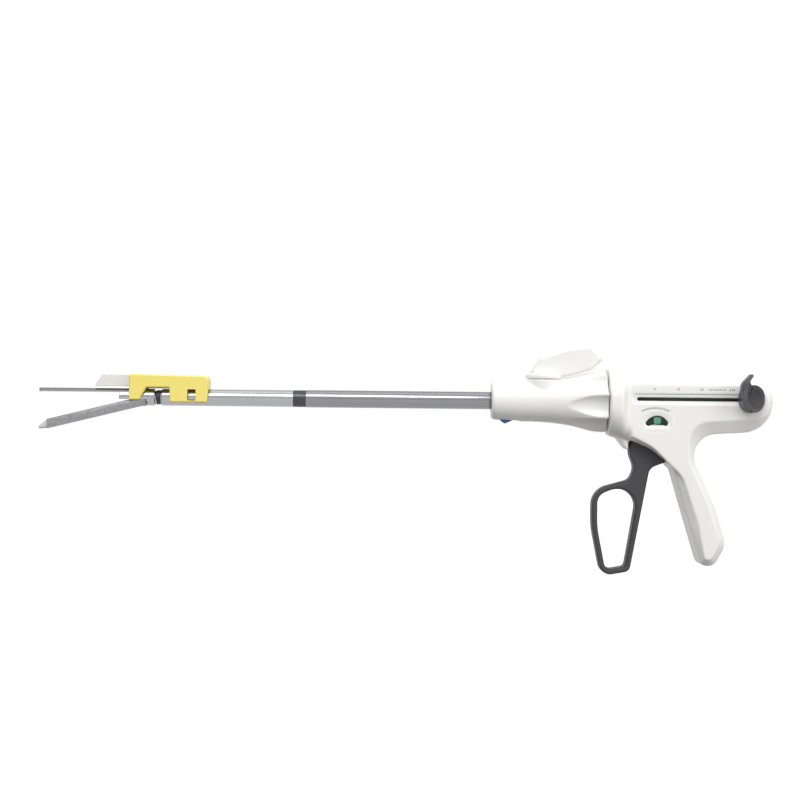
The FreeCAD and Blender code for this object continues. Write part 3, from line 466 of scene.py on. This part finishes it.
def tickMesh(count, step, radius, width, height):
    row = newPiece("row")
    maker = row.modifiers.new("ticks", "NODES")
    maker.node_group = tickRow
    for name, value in (("Count", count), ("Step", step * mm), ("Radius", radius * mm),
                        ("Width", width * mm), ("Height", height * mm),
                        ("Thick", printsAndShadeLine["thick"] * mm), ("Finish", materials["printInkAndShadeGrey"])):
        maker[tickIds[name]] = value
    bake(row)
    return row


def numberMesh(text):
    letters = bpy.data.curves.new("number", "FONT")
    letters.body = text
    letters.size = printsAndShadeLine["numberSize"] * mm
    letters.align_x = "CENTER"
    letters.extrude = printsAndShadeLine["thick"] * mm / 2
    flat = bpy.data.objects.new("number", letters)
    bpy.context.scene.collection.objects.link(flat)
    bpy.context.view_layer.update()
    mesh = bpy.data.meshes.new_from_object(flat.evaluated_get(bpy.context.evaluated_depsgraph_get()))
    bpy.data.objects.remove(flat)
    mesh.transform(Matrix.Rotation(math.pi / 2, 4, "X"))
    return newPiece("number", mesh)


# a thin grey bar for the crease over the slot: painted shade, laid on with the prints
def shadeLineMesh(length):
    shape = bmesh.new()
    bmesh.ops.create_cube(shape, size=1.0)
    lengthwise = [e for e in shape.edges if abs((e.verts[0].co - e.verts[1].co).x) > 0.5]
    bmesh.ops.subdivide_edges(shape, edges=lengthwise, cuts=printsAndShadeLine["shadeLineCuts"])
    size = (length * mm, printsAndShadeLine["thick"] * mm, printsAndShadeLine["shadeLineWidth"] * mm)
    bmesh.ops.scale(shape, vec=size, verts=shape.verts)
    return fromShape("line", shape)


def castFrom(tree, side, x, z):  # where a ray from outside meets the skin, all in metres
    start = Vector((x, side * meshing["rayStart"] * mm, z))
    return tree.ray_cast(start, Vector((0, -side, 0)))[0]


def layOn(shapes, base, side, name):  # lays flat marks on the skin of one side and joins them
    tree = BVHTree.FromObject(base, bpy.context.evaluated_depsgraph_get())
    whole = bmesh.new()
    for source, x, z in shapes:
        part = bmesh.new()
        part.from_mesh(source.data)
        for vertex in part.verts:
            across = x * mm + (vertex.co.x if side < 0 else -vertex.co.x)
            up = z * mm + vertex.co.z
            lift = -vertex.co.y + printsAndShadeLine["thick"] * printsAndShadeLine["raised"] * mm
            vertex.co = (across, castFrom(tree, side, across, up).y + side * lift, up)
        bmesh.ops.recalc_face_normals(part, faces=part.faces)
        laid = fromShape("laid", part)
        whole.from_mesh(laid.data)
        bpy.data.objects.remove(laid)
    place(fromShape(name, whole), "handle", None, "printInkAndShadeGrey")


bpy.context.view_layer.update()
numberShapes = [(numberMesh(text), x, printsAndShadeLine["numberZ"]) for text, x in printsAndShadeLine["numbers"]]
rowShapes = [(tickMesh(*row[:5]), row[5], row[6]) for row in tickRows]
arcShapes = [(tickMesh(*buttonArc[:5]), buttonArc[5], buttonArc[6])]
shadeLineStart, shadeLineEnd = printsAndShadeLine["shadeLineEnds"]
shadeLineShapes = [(shadeLineMesh(shadeLineEnd - shadeLineStart), (shadeLineStart + shadeLineEnd) / 2, printsAndShadeLine["shadeLineZ"])]
for base, side, name in ((leftCasing, -1, "left"), (rightCasing, 1, "right")):
    layOn(numberShapes + rowShapes + shadeLineShapes, base, side, "scale_print_and_shade_line_" + name)
    layOn(arcShapes, base, side, "button_print_" + name)
for source, _, _ in numberShapes + rowShapes + arcShapes + shadeLineShapes:
    bpy.data.objects.remove(source)
print("printsAndShadeLine")


# Trigger

trigger = {"voxel": 0.38, "passes": 8}
softCopy("trigger", "trigger_ring", "trigger", "trigger_grey", "grainedGreyNylon", **trigger)


# Retraction knobs

thumb = {"voxel": 0.3, "passes": 4, "x": 175.9, "z": 5.2, "halfWidth": 6.3, "halfHeight": 9.6, "lean": 15.0,
         "hollow": 1.1, "slope": 0.45, "swell": 0.8, "fall": 0.42, "faceDepth": 4.5, "root": 0.5,
         "padEdge": 0.98, "padLift": 0.12, "padFade": 3, "rim": (0.975, 1.06), "rimLift": 0.22,
         "turns": 72, "padSteps": 20, "rimSteps": 5, "faceFrom": 20, "weld": 0.001}  # mm, degrees, shares


def shapeDish(p, side):  # an upright oval hollow with a raised rim, the rest of the face falls away from it
    lean = math.radians(thumb["lean"])
    dx, dz = p[:, 0] - thumb["x"], p[:, 2] - thumb["z"]
    u = (dx * math.cos(lean) + dz * math.sin(lean)) / thumb["halfWidth"]
    v = (-dx * math.sin(lean) + dz * math.cos(lean)) / thumb["halfHeight"]
    away = np.hypot(u, v)
    hollow = thumb["hollow"] * np.clip((1 - away) / thumb["slope"], 0, 1) ** thumb["swell"]
    fall = thumb["fall"] * np.clip(away - 1, 0, None) * thumb["halfWidth"]
    outer = abs(p[:, 1]) > abs(p[:, 1]).max() - thumb["faceDepth"]
    p[:, 1] -= side * np.where(outer, hollow + fall, 0)


def thumbPiece(name, knob, side, inner, outer, lift):  # an oval band laid on the knob's face
    bpy.context.view_layer.update()
    tree = BVHTree.FromObject(knob, bpy.context.evaluated_depsgraph_get())
    lean = math.radians(thumb["lean"])
    turns, steps = thumb["turns"], thumb["rimSteps"] if inner else thumb["padSteps"]
    shape = bmesh.new()
    grid = []
    for i in range(steps + 1):
        share = inner + (outer - inner) * i / steps
        swell = math.sin(math.pi * i / steps) if inner else min(1.0, (steps - i) / thumb["padFade"])
        ring = []
        for k in range(turns):
            angle = 2 * math.pi * k / turns
            u = share * thumb["halfWidth"] * math.cos(angle)
            v = share * thumb["halfHeight"] * math.sin(angle)
            x = thumb["x"] + u * math.cos(lean) - v * math.sin(lean)
            z = thumb["z"] + u * math.sin(lean) + v * math.cos(lean)
            hit = castFrom(tree, side, x * mm, z * mm)
            if hit is None or abs(hit.y) < thumb["faceFrom"] * mm:
                ring.append(None)  # past the knob's edge
                continue
            ring.append([shape.verts.new((x * mm, hit.y + side * rise * mm, z * mm))
                         for rise in (lift * swell, -thumb["root"])])
        grid.append(ring)
    rims = {}
    for i in range(steps):
        for k in range(turns):
            spots = ((i, k), (i, (k + 1) % turns), (i + 1, (k + 1) % turns), (i + 1, k))
            corners = [grid[row][column] for row, column in spots]
            if all(corners):
                shape.faces.new([c[0] for c in corners])
                shape.faces.new([c[1] for c in reversed(corners)])
                for one, two in zip(spots, spots[1:] + spots[:1]):
                    if (two, one) in rims:
                        del rims[(two, one)]
                    else:
                        rims[(one, two)] = None
    for one, two in rims:  # side walls close the band
        if inner or one[0] or two[0]:
            a, b = grid[one[0]][one[1]], grid[two[0]][two[1]]
            shape.faces.new((a[0], b[0], b[1], a[1]))
    bmesh.ops.remove_doubles(shape, verts=shape.verts, dist=thumb["weld"] * mm)
    bmesh.ops.recalc_face_normals(shape, faces=shape.faces)
    piece = fromShape(name, shape)
    crispEdges(piece, 0, 50)
    return piece


for side, name in ((-1, "left"), (1, "right")):
    knob = copyNodes(name + "_knob", [name + "_retraction_knob"])
    soften(knob, thumb["voxel"], thumb["passes"])
    knobPoints = readPoints(knob)
    shapeDish(knobPoints, side)
    writePoints(knob, knobPoints)
    place(knob, "rack", "knob_grey", "softDarkKnobPlastic", name + "_retraction_knob")
    # the thumb hollow's pad: a darker oval of painted shade laid on the knob's face
    pad = thumbPiece(name + "_thumb_hollow", knob, side, 0.0, thumb["padEdge"], thumb["padLift"])
    place(pad, "rack", "knob_grey", "shadedThumbPlastic")
    rim = thumbPiece(name + "_thumb_rim", knob, side, *thumb["rim"], thumb["rimLift"])
    place(rim, "rack", "knob_grey", "softDarkKnobPlastic")


# Fire button

button = {"voxel": 0.2, "passes": 3}
softCopy("fire_button", "button_bar", "button", "button_green", "tintedGreenPolycarbonate", **button)
wings = {"voxel": 0.2, "passes": 2}
softCopy("button_wings", "button_ends", "button", "wing_green", "darkGreenPolycarbonate", **wings)
print("trigger, knobs and button")


# Rotation knob and articulation lever

grip = {"voxel": 0.42, "rounding": 12, "seamLap": 0.15}
rotator = copyNodes("rotator", ["rotation_knob_left", "rotation_knob_right"], overlap=grip["seamLap"] * mm)
soften(rotator, grip["voxel"], grip["rounding"])
rotatorLeft, rotatorRight = splitHalves(rotator, ("rotator_left", "rotator_right"))
place(rotatorLeft, "rotator", "body_white", "satinWhiteAbs", "rotation_knob_left")
place(rotatorRight, "rotator", "body_white", "satinWhiteAbs", "rotation_knob_right")
lever = {"voxel": 0.36, "passes": 8}
softCopy("articulation_lever", "lever_fin", "lever", "body_white", "satinWhiteAbs", **lever)
slide = {"voxel": 0.16, "passes": 4}
softCopy("unload_slide", "unload_button", "unload", "slide_blue", "mouldedBlueAbs", **slide)
print("rotation knob and lever")


# Shaft and loading unit

edges = {"tube": 0.2, "ring": 0.15, "sleeve": 0.15, "mount": 0.12, "plate": 0.05, "cover": 0.2,
         "channel": 0.1, "body": 0.04}  # rounds in mm
edgedCopy("outer_tube", "shaft_tube", "rotator", "tube_steel", "satinDrawnSteel", bevel=edges["tube"])
edgedCopy("unit_collar", "unit_ring", "unit", "jaw_steel", "darkRingSteel", bevel=edges["ring"])
edgedCopy("unit_tube", "unit_sleeve", "unit", "unit_steel", "brightDrawnSteel", bevel=edges["sleeve"])
edgedCopy("head_mount", "head_ring", "head", "unit_steel", "brightDrawnSteel", bevel=edges["mount"])
edgedCopy("anvil_plate", "anvil_face", "head", "jaw_steel", "tumbledAnvilSteel", bevel=edges["plate"])
edgedCopy("anvil_cover", "anvil_back", "head", "jaw_steel", "tumbledAnvilSteel", bevel=edges["cover"])
# the channel's pale specks are painted glints
edgedCopy("jaw_channel", "channel", "jaw", "jaw_steel", "glintSpeckledJawSteel", bevel=edges["channel"])
edgedCopy("cartridge_body", "cartridge", "jaw", "cartridge_grey", "greyCartridgePlastic", bevel=edges["body"])
nose = {"voxel": 0.18, "passes": 6}
softCopy("cartridge_nose", "nose", "jaw", "nose_pale", "paleNosePlastic", **nose)
joint = {"x": -229.0, "wall": 0.32, "bootWall": 0.9, "turns": 64, "steps": 14,
         "boot": (4.95, -3.7, 3.7), "headShell": (5.35, -3.4, -1.6), "headSlant": -0.8,
         "unitShell": (5.74, 1.8, 3.2),  # radius, then from and to along the shaft, mm
         "poleShare": 0.98}


def ballRing(name, wall, radius, start, end, slant=0.0):  # a band of a ball shell round the joint's centre
    shape = bmesh.new()
    steps, turns = joint["steps"], joint["turns"]
    profile = [(start + (end - start) * i / steps, radius) for i in range(steps + 1)]
    profile += [(x, radius - wall) for x, _ in reversed(profile)]
    rings = []
    for x, r in profile:
        ring = []
        for k in range(turns):
            angle = 2 * math.pi * k / turns
            shift = slant * math.sin(angle) * (x - start) / (end - start)
            limit = r * joint["poleShare"]
            along = min(max(x + shift, -limit), limit)
            high = math.sqrt(r * r - along * along)
            ring.append(shape.verts.new(((joint["x"] + along) * mm, high * math.cos(angle) * mm,
                                         high * math.sin(angle) * mm)))
        rings.append(ring)
    for a, b in zip(rings, rings[1:] + rings[:1]):
        for k in range(turns):
            shape.faces.new((a[k], a[(k + 1) % turns], b[(k + 1) % turns], b[k]))
    bmesh.ops.recalc_face_normals(shape, faces=shape.faces)
    piece = fromShape(name, shape)
    crispEdges(piece, 0, 35)
    return piece


boot = ballRing("joint_boot", joint["bootWall"], *joint["boot"])
place(boot, "unit", "joint_black", "blackJointRubber", "joint_sleeve")
headShell = ballRing("head_shell", joint["wall"], *joint["headShell"], joint["headSlant"])
place(headShell, "head", "unit_steel", "brightDrawnSteel")
unitShell = ballRing("unit_shell", joint["wall"], *joint["unitShell"])
place(unitShell, "unit", "unit_steel", "brightDrawnSteel")
print("shaft and jaws")


# Shipping wedge

clip = {"voxel": 0.3, "passes": 4}
softCopy("wedge_clip", "wedge_body", "wedge", "clip_yellow", "waxyYellowPolypropylene", **clip)
tab = {"voxel": 0.22, "passes": 5}
softCopy("wedge_tab", "wedge_finger_tab", "wedge", "tab_cream", "milkyPolypropylene", **tab)
rib = {"low": (-247.0, -0.9, 6.1), "high": (-195.5, 0.9, 14.9), "edge": 0.3}  # under the clip's roof
shade = {"low": (95.4, -2.5, 2.2), "high": (111.6, 2.5, 4.4), "edge": 0.3}  # shuts the view through the slots


def boxPiece(name, size):
    shape = bmesh.new()
    bmesh.ops.create_cube(shape, size=1.0)
    low, high = Vector(size["low"]) * mm, Vector(size["high"]) * mm
    bmesh.ops.scale(shape, vec=high - low, verts=shape.verts)
    bmesh.ops.translate(shape, vec=(low + high) / 2, verts=shape.verts)
    piece = fromShape(name, shape)
    crispEdges(piece, size["edge"])
    return piece


place(boxPiece("wedge_rib", rib), "wedge", "clip_yellow", "waxyYellowPolypropylene")
place(boxPiece("rack_shade", shade), "rack", "rack_plastic", "greyRackPlastic")
print("wedge")


# Inner pieces keep their CAD shape

inner = {
    "trigger_pivot_pin": "groundPinSteel", "trigger_spring": "groundPinSteel", "pawl_pin": "groundPinSteel",
    "drive_pawl": "groundPinSteel", "drive_rack": "greyRackPlastic", "knob_crossbar": "groundPinSteel",
    "rod_seal": "siliconeSeal", "control_rod": "groundPinSteel", "articulation_slider": "groundPinSteel",
    "unit_core": "paleNosePlastic", "articulation_link": "groundPinSteel", "joint_pins": "groundPinSteel",
    "drive_bar": "groundPinSteel", "drive_beam": "groundPinSteel", "jaw_pins": "groundPinSteel",
    "knife_strut": "groundPinSteel", "staple_pushers": "paleNosePlastic", "staples": "titaniumStapleWire",
    "sled": "paleNosePlastic", "knife_foot": "groundPinSteel",
}
for node, finish in inner.items():
    recolour(node, finish)


# Studio

studio = {"floorDrop": 1.0, "floorSize": 8.0, "floorColour": "#7C7C7C", "floorRoughness": 0.9,
          "floorGlow": 0.9, "ambient": 0.5}  # drop in mm, size in metres
lamps = {  # watts, size, place and what it points at, metres
    "key": (24.0, (1.8, 0.8), (-0.3, -1.35, 1.4), (0.0, 0.0, 0.0)),
    "top": (3.5, (1.8, 0.9), (0.0, 0.1, 1.4), (0.0, 0.0, 0.0)),
    "fill": (8.5, (1.0, 1.0), (1.3, -0.9, 0.3), (0.05, 0.0, 0.0)),
}


def addArea(name, energy, size, at, target):
    lamp = bpy.data.lights.new(name, "AREA")
    lamp.energy = energy
    lamp.shape = "RECTANGLE"
    lamp.size, lamp.size_y = size
    holder = bpy.data.objects.new(name, lamp)
    holder.location = at
    holder.rotation_euler = (Vector(target) - Vector(at)).to_track_quat("-Z", "Y").to_euler()
    bpy.context.scene.collection.objects.link(holder)


def backgroundRays(tree):  # 1 for the rays that should see the white background, 0 for the ones that light
    rays = addNode(tree, "ShaderNodeLightPath").outputs
    seen = addNode(tree, "ShaderNodeMath", {0: rays["Is Camera Ray"], 1: rays["Is Glossy Ray"]},
                   operation="MAXIMUM")
    seen = addNode(tree, "ShaderNodeMath", {0: seen.outputs[0], 1: rays["Is Transmission Ray"]},
                   operation="MAXIMUM")
    return seen.outputs[0]


def makeFloor():
    low = cadBox[0].z - studio["floorDrop"] * mm
    half = studio["floorSize"] / 2
    shape = bmesh.new()
    corners = ((-half, -half), (half, -half), (half, half), (-half, half))
    shape.faces.new([shape.verts.new((x, y, low)) for x, y in corners])
    floor = fromShape("floor", shape)
    material, tree, shader, _ = startMaterial("paintedPaleFloor", studio["floorRoughness"])
    shader.inputs["Base Color"].default_value = linear(studio["floorColour"])
    lift = addNode(tree, "ShaderNodeMath", {0: backgroundRays(tree), 1: studio["floorGlow"]},
                   operation="MULTIPLY")
    glow = addNode(tree, "ShaderNodeEmission", {"Color": (1, 1, 1, 1), "Strength": lift.outputs[0]})
    both = addNode(tree, "ShaderNodeAddShader", {0: shader.outputs[0], 1: glow.outputs[0]})
    out = next(node for node in tree.nodes if node.type == "OUTPUT_MATERIAL")
    tree.links.new(both.outputs[0], out.inputs["Surface"])
    floor.data.materials.append(material)


def makeWorld():
    world = bpy.data.worlds.new("studio")
    bpy.context.scene.world = world
    world.use_nodes = True
    tree = world.node_tree
    tree.nodes.clear()
    strength = addNode(tree, "ShaderNodeMapRange", {0: backgroundRays(tree), 3: studio["ambient"], 4: 1.0})
    back = addNode(tree, "ShaderNodeBackground", {"Color": (1, 1, 1, 1), "Strength": strength.outputs[0]})
    addNode(tree, "ShaderNodeOutputWorld", {"Surface": back.outputs[0]})


makeFloor()
makeWorld()
for name, lamp in lamps.items():
    addArea(name, *lamp)


# Camera

view = {"distance": 1.0, "across": 0.552, "centreX": -0.0628, "centreZ": -0.0002,  # metres
        "roll": 0.587, "sensor": 36.0, "clipStart": 0.05}
bpy.context.scene.view_settings.view_transform = "Standard"
camera = bpy.data.objects.new("camera", bpy.data.cameras.new("camera"))
camera.data.sensor_width = view["sensor"]
camera.data.lens = view["sensor"] * view["distance"] / view["across"]
camera.data.clip_start = view["clipStart"]
camera.matrix_world = (Matrix.Translation((view["centreX"], -view["distance"], view["centreZ"]))
                       @ Matrix.Rotation(-math.radians(view["roll"]), 4, "Y")
                       @ Matrix.Rotation(math.pi / 2, 4, "X"))
bpy.context.scene.collection.objects.link(camera)
bpy.context.scene.camera = camera
print("studio and camera")
